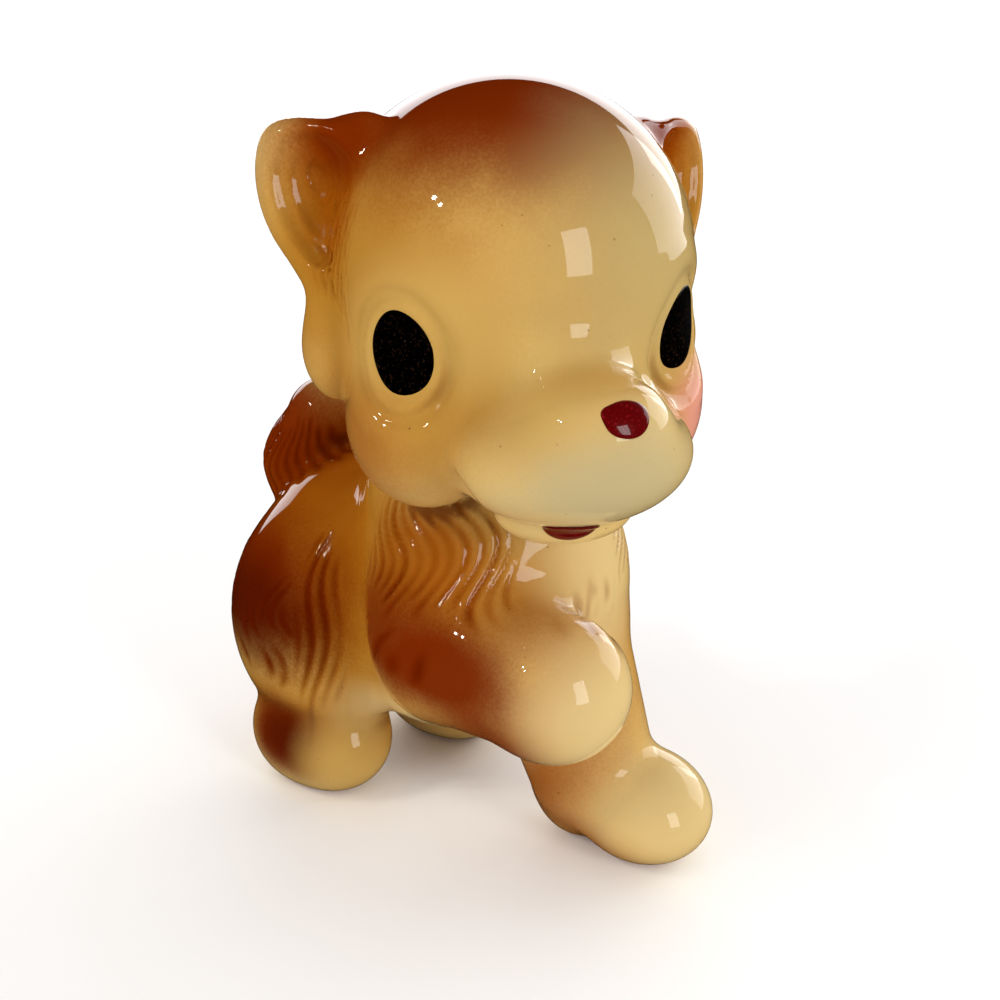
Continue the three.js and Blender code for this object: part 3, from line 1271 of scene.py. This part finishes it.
class Wire:
    """A number that runs through a shader, for use in ordinary sums."""

    def __init__(self, bench: "Bench", socket: bpy.types.NodeSocket) -> None:
        """Keeps the socket and the bench that it is on."""
        self.bench = bench
        self.socket = socket

    def _math(self, operation: str, *others: "Wire | float") -> "Wire":
        """A Math node on this number and the others."""
        values = dict(enumerate((self, *others)))
        return self.bench.wire("ShaderNodeMath", {"operation": operation}, values)

    def __add__(self, other: "Wire | float") -> "Wire":
        """This number plus another."""
        return self._math("ADD", other)

    def __radd__(self, other: float) -> "Wire":
        """A plain number plus this one."""
        return self._math("ADD", other)

    def __sub__(self, other: "Wire | float") -> "Wire":
        """This number less another."""
        return self._math("SUBTRACT", other)

    def __rsub__(self, other: float) -> "Wire":
        """A plain number less this one."""
        values = {0: other, 1: self}
        return self.bench.wire("ShaderNodeMath", {"operation": "SUBTRACT"}, values)

    def __mul__(self, other: "Wire | float") -> "Wire":
        """This number times another."""
        return self._math("MULTIPLY", other)

    def __rmul__(self, other: float) -> "Wire":
        """A plain number times this one."""
        return self._math("MULTIPLY", other)

    def most(self, other: "Wire | float") -> "Wire":
        """The higher of two numbers."""
        return self._math("MAXIMUM", other)

    def ramp(self, low: float, high: float, at_low: float = 0.0, at_high: float = 1.0) -> "Wire":
        """A smooth climb from one value to another as this number goes from low to high.

        Args:
            low: where the climb starts.
            high: where it ends.
            at_low: the value at its start.
            at_high: the value at its end.

        Returns:
            The climbed value.
        """
        ends = {"From Min": low, "From Max": high, "To Min": at_low, "To Max": at_high}
        settings = {"interpolation_type": "SMOOTHSTEP"}
        return self.bench.wire("ShaderNodeMapRange", settings, {"Value": self, **ends})


Value = Wire | float | Sequence[float]


class Bench:
    """One material and the nodes wired into it."""

    def __init__(self, name: str) -> None:
        """Starts an empty material.

        Args:
            name: what the material is called.
        """
        self.material = bpy.data.materials.new(name)
        self.material.use_nodes = True
        self.tree = self.material.node_tree
        self.tree.nodes.clear()

    def node(self, kind: str, settings: dict, values: dict) -> bpy.types.Node:
        """Adds a node.

        Args:
            kind: the node's type.
            settings: attributes set before anything is wired.
            values: a number, colour or wire for each socket, by name or number.

        Returns:
            The node.
        """
        node = self.tree.nodes.new(kind)
        for key, value in settings.items():
            setattr(node, key, value)
        for key, value in values.items():
            if isinstance(value, Wire):
                self.tree.links.new(value.socket, node.inputs[key])
            else:
                node.inputs[key].default_value = value
        return node

    def wire(self, kind: str, settings: dict, values: dict, output: int | str = 0) -> Wire:
        """Adds a node and gives one of its outputs."""
        return Wire(self, self.node(kind, settings, values).outputs[output])

    def vector(self, operation: str, *values: Value, output: int | str = 0) -> Wire:
        """A Vector Math node."""
        settings = {"operation": operation}
        return self.wire("ShaderNodeVectorMath", settings, dict(enumerate(values)), output)

    def mix(self, share: Value, first: Value, second: Value) -> Wire:
        """A colour between two others."""
        settings = {"data_type": "RGBA", "blend_type": "MIX", "clamp_factor": True}
        return self.wire("ShaderNodeMix", settings, {0: share, 6: first, 7: second}, 2)

    def place(self) -> Wire:
        """Where the point is, in millimetres."""
        metres = self.wire("ShaderNodeTexCoord", {}, {}, "Object")
        return self.scaled(metres, 1 / MM)

    def scaled(self, vector: Wire, by: float) -> Wire:
        """A vector times a number."""
        return self.wire("ShaderNodeVectorMath", {"operation": "SCALE"}, {0: vector, "Scale": by})

    def noise(self, at: Wire, size: float, detail: float = 2.0, rough: float = 0.5) -> Wire:
        """Soft noise from 0 to 1 with patches about `size` millimetres across."""
        values = {"Vector": at, "Scale": 1 / size, "Detail": detail, "Roughness": rough}
        return self.wire("ShaderNodeTexNoise", {}, values)

    def parts(self, vector: Wire) -> tuple[Wire, Wire, Wire]:
        """A vector's three numbers."""
        node = self.node("ShaderNodeSeparateXYZ", {}, {0: vector})
        return tuple(Wire(self, socket) for socket in node.outputs)

    def shade(self, values: dict) -> bpy.types.Material:
        """Ends the material in one Principled shader with these socket values.

        Args:
            values: a number, colour or wire for each of the shader's sockets.

        Returns:
            The material.
        """
        shader = self.node("ShaderNodeBsdfPrincipled", {}, values)
        output = self.node("ShaderNodeOutputMaterial", {}, {})
        self.tree.links.new(shader.outputs[0], output.inputs[0])
        return self.material


# ---------- finishes ----------


class Zone(Enum):
    """The frame that a spray of colour is placed in."""

    BODY = "body"
    HEAD = "head"
    BOTH_CHEEKS = "both cheeks"


@dataclass(frozen=True)
class Spray:
    """One pass of the airbrush: a soft egg of colour, in millimetres.

    Args:
        zone: the frame in which it is placed.
        centre: its middle.
        radii: its half sizes.
        colour: a display colour code.
        strength: how much it covers at its heart.
        softness: how wide its edge is, as a share of its size.
    """

    zone: Zone
    centre: Triple
    radii: Triple
    colour: str
    strength: float
    softness: float


CREAM = "ceb37c"
WARM_CREAM = "d0ae6a"
COOL_CREAM = "ae9e74"
SHADED_CREAM = "aa9664"
STRAW = "bd9750"
HONEY = "a8701a"
AMBER = "904602"
RUSSET = "6e1f00"
UMBER = "3c0300"
BLUSH = "dc9088"
# Painted shade, laid into the creases and hollows.
CREASE_SHADE_BROWN = "5c2000"
IRON = "5a2c08"
BARE_CLAY = "b98a6a"


def glaze_passes() -> tuple[Spray, ...]:
    """The airbrush passes, with one pass of painted light on the belly, in the order in which they
    are laid over the cream.

    Returns:
        The passes.
    """
    body, head, cheeks = Zone.BODY, Zone.HEAD, Zone.BOTH_CHEEKS
    return (
        Spray(head, (0, 6, -2), (39, 48, 46), STRAW, 0.9, 0.5),
        Spray(cheeks, (26, 6, -4), (16, 34, 34), HONEY, 0.8, 0.6),
        Spray(head, (0, -8, 4), (34, 30, 14), HONEY, 0.5, 0.7),
        Spray(cheeks, (19, -16, -13), (15, 18, 16), STRAW, 0.85, 0.3),
        Spray(cheeks, (20, -16, -28), (15, 14, 9), HONEY, 0.6, 0.7),
        Spray(body, (0, 22, 50), (40, 44, 36), HONEY, 0.95, 0.4),
        Spray(body, (-14, -14, 56), (22, 30, 26), HONEY, 0.9, 0.5),
        Spray(body, (12, -18, 36), (20, 18, 22), HONEY, 0.8, 0.5),
        Spray(body, (0, 30, 20), (44, 34, 14), HONEY, 0.9, 0.5),
        Spray(head, (0, 4, 28), (36, 43, 21), AMBER, 0.9, 0.55),
        Spray(head, (-2, -6, 30), (32, 42, 18), RUSSET, 0.95, 0.5),
        Spray(head, (16, -26, 3), (18, 22, 20), SHADED_CREAM, 0.75, 0.8),
        Spray(head, (0, -42, -16), (10, 6, 3), HONEY, 0.5, 0.9),
        Spray(head, (-32, -7, -31), (7, 11, 10), AMBER, 0.6, 0.8),
        Spray(head, (-10, -34, -24), (14, 14, 6), HONEY, 0.4, 0.9),
        Spray(body, (-15, -34, 46), (17, 20, 17), AMBER, 0.75, 0.6),
        Spray(body, (6, -24, 20), (13, 12, 18), AMBER, 0.9, 0.6),
        Spray(body, (8, -34, 4), (8, 10, 6), AMBER, 0.7, 0.8),
        Spray(body, (0, 34, 54), (34, 34, 24), AMBER, 0.9, 0.5),
        Spray(body, (-24, 36, 46), (18, 27, 14), RUSSET, 0.95, 0.45),
        Spray(body, (24, 34, 45), (18, 27, 14), RUSSET, 0.95, 0.45),
        Spray(body, (-30, 32, 42), (9, 18, 11), UMBER, 0.7, 0.6),
        Spray(body, (30, 32, 42), (9, 18, 11), UMBER, 0.7, 0.6),
        Spray(body, (0, 54, 52), (24, 14, 20), RUSSET, 0.9, 0.5),
        Spray(body, (0, 52, 66), (14, 14, 16), AMBER, 0.9, 0.4),
        Spray(body, (-7, 50, 71), (11, 14, 15), RUSSET, 0.9, 0.6),
        Spray(body, (-23, -16, 68), (11, 13, 10), AMBER, 0.75, 0.6),
        Spray(body, (-25, -12, 54), (12, 14, 9), RUSSET, 0.85, 0.6),
        Spray(body, (24, -8, 50), (12, 16, 14), RUSSET, 0.8, 0.6),
        Spray(body, (-28, -28, 52), (10, 16, 8), RUSSET, 0.95, 0.5),
        Spray(body, (-24, -40, 41), (9, 11, 7), RUSSET, 0.75, 0.7),
        Spray(body, (-27, 26, 15), (12, 12, 9), RUSSET, 0.95, 0.6),
        Spray(body, (27, 26, 15), (12, 12, 9), RUSSET, 0.95, 0.6),
        Spray(body, (-31, 23, 15), (7, 9, 7), UMBER, 0.7, 0.7),
        Spray(cheeks, (36, 4, 4), (9, 10, 14), HONEY, 0.7, 0.6),
        Spray(cheeks, (32, 2, 14), (8, 8, 14), AMBER, 0.9, 0.5),
        Spray(cheeks, (29, 2, 21), (7, 9, 8), RUSSET, 0.9, 0.6),
        Spray(head, (-8, -45, -21), (9, 9, 7), STRAW, 0.6, 0.9),
        Spray(head, (2, -50, -33), (18, 14, 10), COOL_CREAM, 0.9, 0.7),
        Spray(head, (30, -18, -29), (8, 12, 8), BLUSH, 0.7, 0.8),
        Spray(body, (-22, 11, 11), (10, 9, 10), STRAW, 0.8, 0.7),
        # Painted light: the belly, which lies in shade, is lightened with cream.
        Spray(body, (-12, -4, 24), (14, 18, 9), CREAM, 0.9, 0.6),
        Spray(body, (-9, -54, 46), (14, 11, 13), CREAM, 0.9, 0.6),
        Spray(body, (19, -44, 12), (14, 12, 9), CREAM, 0.8, 0.7),
        Spray(body, (6, -34, 64), (12, 12, 20), CREAM, 0.8, 0.7),
    )


@dataclass(frozen=True)
class Glaze:
    """The airbrushed glaze under a clear, glassy coat, with painted shade in its creases, the same
    on every piece of clay.
    """

    shift: Triple
    head: Pose
    head_turn: Triple
    passes: tuple[Spray, ...] = field(default_factory=glaze_passes)

    # How strongly painted shade darkens the creases, from the heights of the body to those of the
    # head.
    BODY_TO_HEAD = (78, 95, 0.7, 0.3)
    # The same from the skull out to the ears, by the distance from the head's midline.
    SKULL_TO_EAR = (28, 31, 0, 0.8)
    # How bare the clay is, over the heights where the glaze was wiped off the soles.
    WIPED = (0.5, 1.1, 1.0, 0.0)

    def _zones(self, bench: Bench, place: Wire) -> dict[Zone, Wire]:
        """The point in each frame that sprays are placed in.

        Args:
            bench: the material being made.
            place: where the point is, in millimetres.

        Returns:
            The point in each frame.
        """
        body = bench.vector("SUBTRACT", place, self.shift)
        from_head = bench.vector("SUBTRACT", place, tuple(self.head.origin))
        angles = tuple(math.radians(angle) for angle in self.head_turn)
        settings = {"rotation_type": "EULER_XYZ", "invert": True}
        values = {"Vector": from_head, "Rotation": angles}
        head = bench.wire("ShaderNodeVectorRotate", settings, values)
        x, y, z = bench.parts(head)
        folded = bench.wire("ShaderNodeCombineXYZ", {}, {0: x.most(0 - x), 1: y, 2: z})
        return {Zone.BODY: body, Zone.HEAD: head, Zone.BOTH_CHEEKS: folded}

    def _cover(self, bench: Bench, spray: Spray, at: Wire, ragged: Wire) -> Wire:
        """How much of the point a spray covers.

        Args:
            bench: the material being made.
            spray: the pass.
            at: the point in the pass's own frame.
            ragged: how far the edge is drawn in there.

        Returns:
            From 0 to the pass's strength.
        """
        local = bench.vector("SUBTRACT", at, spray.centre)
        scaled = bench.vector("DIVIDE", local, spray.radii)
        reach = bench.vector("LENGTH", scaled, output="Value") + ragged
        return reach.ramp(1 - spray.softness, 1 + spray.softness, spray.strength, 0.0)

    def _flecked(self, bench: Bench, place: Wire, colour: Wire) -> Wire:
        """The colour with a few pin-head specks of iron from the clay.

        Args:
            bench: the material being made.
            place: where the point is, in millimetres.
            colour: the glaze without specks.

        Returns:
            The colour with specks.
        """
        cells = bench.node("ShaderNodeTexVoronoi", {}, {"Vector": place, "Scale": 1 / 2.6})
        apart, tint = Wire(bench, cells.outputs[0]), Wire(bench, cells.outputs[1])
        chance, size, _ = bench.parts(tint)
        speck = (apart + size * 0.05).ramp(0.06, 0.1, 1.0, 0.0) * chance.ramp(0.6, 0.75)
        return bench.mix(speck * 0.6, colour, hex_colour(IRON))

    def material(self, name: str) -> bpy.types.Material:
        """The glaze as one material.

        Args:
            name: what the material is called.

        Returns:
            The material.
        """
        bench = Bench(name)
        place = bench.place()
        zones = self._zones(bench, place)
        drift = bench.noise(place, 14.0, 3.0)
        grain = bench.noise(place, 0.55, 2.0)
        furrow = bench.wire("ShaderNodeAttribute", {"attribute_name": "furrow"}, {}, "Fac")
        ragged = (drift - 0.5) * 0.4 + (grain - 0.5) * 0.2 - furrow * 0.25
        crease_shade = bench.wire("ShaderNodeAttribute", {"attribute_name": "crease_shade"}, {}, "Fac")
        colour = bench.mix(drift.ramp(0.3, 0.75), hex_colour(CREAM), hex_colour(WARM_CREAM))
        reds = []
        for spray in self.passes:
            cover = self._cover(bench, spray, zones[spray.zone], ragged)
            colour = bench.mix(cover, colour, hex_colour(spray.colour))
            if spray.colour == RUSSET:
                reds.append(cover)
        colour = self._flecked(bench, place, colour)
        _, _, height = bench.parts(place)
        out, _, _ = bench.parts(zones[Zone.BOTH_CHEEKS])
        # Painted shade: creases and hollows darkened with brown, less on the head and more at the
        # ears.
        painted_crease_shade = (crease_shade + (grain - 0.5) * 0.12).ramp(0.3, 0.8)
        painted_crease_shade = painted_crease_shade * height.ramp(*self.BODY_TO_HEAD).most(out.ramp(*self.SKULL_TO_EAR))
        colour = bench.mix(painted_crease_shade, colour, hex_colour(CREASE_SHADE_BROWN))
        colour = bench.mix(furrow * 0.5, colour, hex_colour(RUSSET))
        shade = reduce(Wire.most, reds)
        colour = bench.mix(furrow * shade * 0.5, colour, hex_colour(UMBER))
        bare = (height + (grain - 0.5) * 0.8).ramp(*self.WIPED)
        colour = bench.mix(bare, colour, hex_colour(BARE_CLAY))
        orange_peel = bench.noise(place, 2.6, 1.0)
        bump = {"Strength": 0.05, "Distance": 0.0004, "Height": orange_peel}
        values = {
            "Base Color": colour,
            "Roughness": bare.ramp(0, 1, 0.32, 0.8),
            "Specular IOR Level": 0.0,
            "Coat Weight": bare.ramp(0, 1, 1.0, 0.0),
            "Coat Roughness": 0.035,
            "Coat IOR": 1.32,
            "Normal": bench.wire("ShaderNodeBump", {}, bump),
        }
        return bench.shade(values)


@dataclass(frozen=True)
class Gloss:
    """A plain enamel, a little mottled.

    Args:
        colour: a display colour code.
        fleck: the colour of its flecks.
        roughness: of the enamel itself.
        coat: how much of the clear coat lies over it.
        grain: the size of its grain, in millimetres.
        bump: how strongly the grain shows in relief.
    """

    colour: str
    fleck: str
    roughness: float
    coat: float
    grain: float = 0.5
    bump: float = 0.05

    def material(self, name: str) -> bpy.types.Material:
        """The enamel as one material.

        Args:
            name: what the material is called.

        Returns:
            The material.
        """
        bench = Bench(name)
        place = bench.place()
        grain = bench.noise(place, self.grain, 3.0, 0.6)
        flecks = grain.ramp(0.55, 0.72)
        bump = {"Strength": self.bump, "Distance": 0.0003, "Height": grain}
        values = {
            "Base Color": bench.mix(flecks, hex_colour(self.colour), hex_colour(self.fleck)),
            "Roughness": self.roughness,
            "Specular IOR Level": 0.03,
            "Coat Weight": self.coat,
            "Coat Roughness": 0.04,
            "Coat IOR": 1.3,
            "Normal": bench.wire("ShaderNodeBump", {}, bump),
        }
        return bench.shade(values)


# ---------- stage ----------


@dataclass(frozen=True)
class Softbox:
    """A flat lamp that faces a point on the figurine. Places and sizes are in metres."""

    name: str
    place: Triple
    aim: Triple
    width: float
    height: float
    power: float
    colour: tuple[float, float, float] = (1.0, 1.0, 1.0)
    mirrored: bool = True

    def hung(self) -> bpy.types.Object:
        """Hangs the lamp.

        Returns:
            The lamp.
        """
        light = bpy.data.lights.new(self.name, "AREA")
        light.shape = "RECTANGLE"
        light.size, light.size_y = self.width, self.height
        light.energy = self.power
        light.color = self.colour
        lamp = bpy.data.objects.new(self.name, light)
        lamp.visible_glossy = self.mirrored
        lamp.location = self.place
        away = Vector(self.aim) - Vector(self.place)
        lamp.rotation_euler = away.to_track_quat("-Z", "Y").to_euler()
        bpy.context.scene.collection.objects.link(lamp)
        return lamp


@dataclass(frozen=True)
class Stage:
    """The pale table, the room's light, the lamps and the camera, in metres."""

    shift: Array
    table: float = 5.0
    edge_drop: float = 0.02
    segments: int = 96
    camera_place: Triple = (-0.17505, -0.22767, 0.18438)
    camera_aim: Triple = (0.0, -0.0115, 0.072)
    lens: float = 56.88

    def floor(self) -> bpy.types.Object:
        """The table top, a wide disc with a rounded edge.

        Returns:
            The table top.
        """
        angle = np.linspace(0, 2 * np.pi, self.segments, endpoint=False)
        rings = []
        edge = (self.table + 1.5 * self.edge_drop, self.edge_drop)
        for reach, drop in ((0.2, 0), (1, 0), (self.table, 0), edge):
            ring = np.stack([reach * np.cos(angle), reach * np.sin(angle), 0 * angle - drop], 1)
            rings.append(ring)
        faces = capped_rings(len(rings), self.segments)
        mesh = bpy.data.meshes.new("table_top")
        mesh.from_pydata(np.concatenate(rings).tolist(), [], faces)
        table = bpy.data.objects.new("table_top", mesh)
        table.visible_glossy = False
        bpy.context.scene.collection.objects.link(table)
        bench = Bench("table_paint")
        cloud = bench.noise(bench.place(), 60.0)
        tone = bench.mix(cloud, hex_colour("fafafa"), hex_colour("fcfcfc"))
        mesh.materials.append(bench.shade({"Base Color": tone, "Roughness": 0.6}))
        return table

    def lamps(self) -> list[Softbox]:
        """The lamps.

        Returns:
            The lamps, not yet hung.
        """
        heart = (0.0, 0.0, 0.08)
        return [
            Softbox("backdrop", (1.9, 2.35, 0.75), heart, 5.4, 1.4, 74.0),
            Softbox("window", (-0.02, -0.75, 0.28), heart, 0.24, 0.42, 2.6),
            Softbox("side", (1.9, -0.2, 0.6), heart, 1.6, 1.2, 18.0),
            Softbox("fill", (-1.9, 0.4, 0.7), heart, 1.6, 1.0, 12.0, mirrored=False),
            Softbox("bulb_a", (-0.59, 0.19, 0.61), heart, 0.03, 0.03, 0.5, (1, 0.9, 0.75)),
            Softbox("bulb_b", (-0.64, 0.12, 0.60), heart, 0.03, 0.03, 0.5, (1, 0.9, 0.75)),
        ]

    def room(self) -> None:
        """The even light of the room."""
        world = bpy.data.worlds.new("room")
        world.use_nodes = True
        world.node_tree.nodes["Background"].inputs[0].default_value = (0.62, 0.62, 0.625, 1)
        world.node_tree.nodes["Background"].inputs[1].default_value = 1.0
        bpy.context.scene.world = world
        world.cycles_visibility.glossy = False

    def camera(self) -> None:
        """The camera."""
        lens = bpy.data.cameras.new("camera")
        lens.lens = self.lens
        lens.sensor_width = 36.0
        lens.clip_start = 0.01
        camera = bpy.data.objects.new("camera", lens)
        shift = Vector(self.shift * MM)
        camera.location = Vector(self.camera_place) + shift
        away = Vector(self.camera_aim) - Vector(self.camera_place)
        camera.rotation_euler = away.to_track_quat("-Z", "Y").to_euler()
        bpy.context.scene.collection.objects.link(camera)
        bpy.context.scene.camera = camera

    def set_up(self) -> None:
        """Sets up the table, lamps, room and camera."""
        bpy.context.scene.view_settings.view_transform = "Standard"
        self.floor()
        for lamp in self.lamps():
            lamp.hung()
        self.room()
        self.camera()


# ---------- assembly ----------


@dataclass
class Puppy:
    """The whole figurine: its clay, its enamel and their finishes.

    Sizes are a half width and a half height, and shifts are in the head's frame, from the
    middle of the CAD node.
    """

    spacing: float = 0.7
    eye_size: tuple[float, float] = (5.8, 7.2)
    eye_turn_out: float = 8.0
    left_eye_inset: float = 4.2
    nose_size: tuple[float, float] = (4.0, 2.9)
    nose_shift: Triple = (1.2, 0.0, -1.0)
    tongue_size: tuple[float, float] = (4.5, 3.2)
    tongue_shift: Triple = (-3.4, 0.0, 1.8)
    tongue_tilt: float = 14.0

    def __post_init__(self) -> None:
        """Finds the frames and readies the parts."""
        self.shift = potters_shift()
        self.body_pose = Pose(self.shift)
        self.head_pose = head_pose()
        self.head = Head()
        self.torso = Torso()
        self.ears = [Ear(-1), Ear(1, drop=3.0)]
        self.limbs = limbs()

    def figure(self) -> Figure:
        """The puppy's clay, with its relief.

        Returns:
            The clay.
        """
        head, body = self.head_pose, self.body_pose
        clays = [self.torso.clay(body), self.head.clay(head)]
        clays += [ear.clay(head) for ear in self.ears]
        clays += [limb.clay(body) for limb in self.limbs]
        figure = Figure(clays, self.torso.vent(), body)
        marks = self.head.reliefs(head) + self.head.hair(head, head_yaw())
        for ear in self.ears:
            marks += ear.reliefs(head)
        marks += self.torso.fur(body)
        for limb in self.limbs:
            marks += limb.fur(body)
        figure.reliefs = marks
        return figure

    def enamels(self) -> list[Enamel]:
        """The eyes, nose and tongue.

        Returns:
            The pads, not yet pressed on.
        """
        head = self.head_pose
        pads = []
        for side, node, inset in ((-1, "right_eye", 0.0), (1, "left_eye", self.left_eye_inset)):
            turn = head.turn @ self.head.eye_turn(side) @ turned(0, side * self.eye_turn_out, 0)
            middle = box_middle(node) - turn @ np.array([side * inset, 0, 0])
            pads.append(Enamel(node, middle, turn, *self.eye_size, Outline.EGG))
        tip = box_middle("nose") + head.turn @ np.array(self.nose_shift)
        nose = Enamel("nose", tip, head.turn, *self.nose_size, Outline.TEARDROP, proud=0.5)
        lip = box_middle("tongue") + head.turn @ np.array(self.tongue_shift)
        low = head.turn @ turned(self.tongue_tilt, 0, 0)
        tongue = Enamel("tongue", lip, low, *self.tongue_size, Outline.HALF_OVAL, proud=1.0)
        return [*pads, nose, tongue]

    def built(self) -> None:
        """Builds every piece, dresses it in the finish of its node's slot, hangs it on the root and
        hides the CAD node that it stands for.
        """
        figure = self.figure()
        LOG.info("clay: %d pieces, %d marks", len(figure.clays), len(figure.reliefs))
        skin = Skin.thrown(figure, self.spacing)
        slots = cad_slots()
        glaze = Glaze(tuple(self.shift), self.head_pose, (self.head.lift, 0.0, head_yaw()))
        black = Gloss("010000", "2a190c", 0.35, 0.3, bump=0.1)
        maroon = Gloss("540103", "800f14", 0.3, 1.0)
        finishes = {"black_enamel": black, "maroon_enamel": maroon}
        things = [
            (clay.name, skin.made(number, clay.name + "_glazed"))
            for number, clay in enumerate(figure.clays, 1)
        ]
        things += [(pad.node, pad.made(figure.fine)) for pad in self.enamels()]
        materials: dict[str, bpy.types.Material] = {}
        for node, thing in things:
            slot = slots[node]
            if slot not in materials:
                materials[slot] = finishes.get(slot, glaze).material(slot)
            thing.data.materials.append(materials[slot])
            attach(thing, "root")
            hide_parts(node)


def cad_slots() -> dict[str, str]:
    """The record's slot of each CAD node.

    Returns:
        A slot by the name of each node.
    """
    return {
        "head_shell": "honey_glaze",
        "right_ear": "ear_glaze",
        "left_ear": "ear_glaze",
        "body_shell": "russet_glaze",
        "raised_foreleg": "cream_glaze",
        "standing_foreleg": "cream_glaze",
        "right_hind_foot": "foot_glaze",
        "left_hind_foot": "foot_glaze",
        "tail": "tail_glaze",
        "right_eye": "black_enamel",
        "left_eye": "black_enamel",
        "nose": "maroon_enamel",
        "tongue": "maroon_enamel",
    }


def main() -> None:
    """Builds the puppy, sets the stage and notes the sizes."""
    logging.basicConfig(level=logging.INFO, format="%(message)s")
    puppy = Puppy()
    puppy.built()
    Stage(puppy.shift).set_up()


if __name__ == "__main__":
    main()
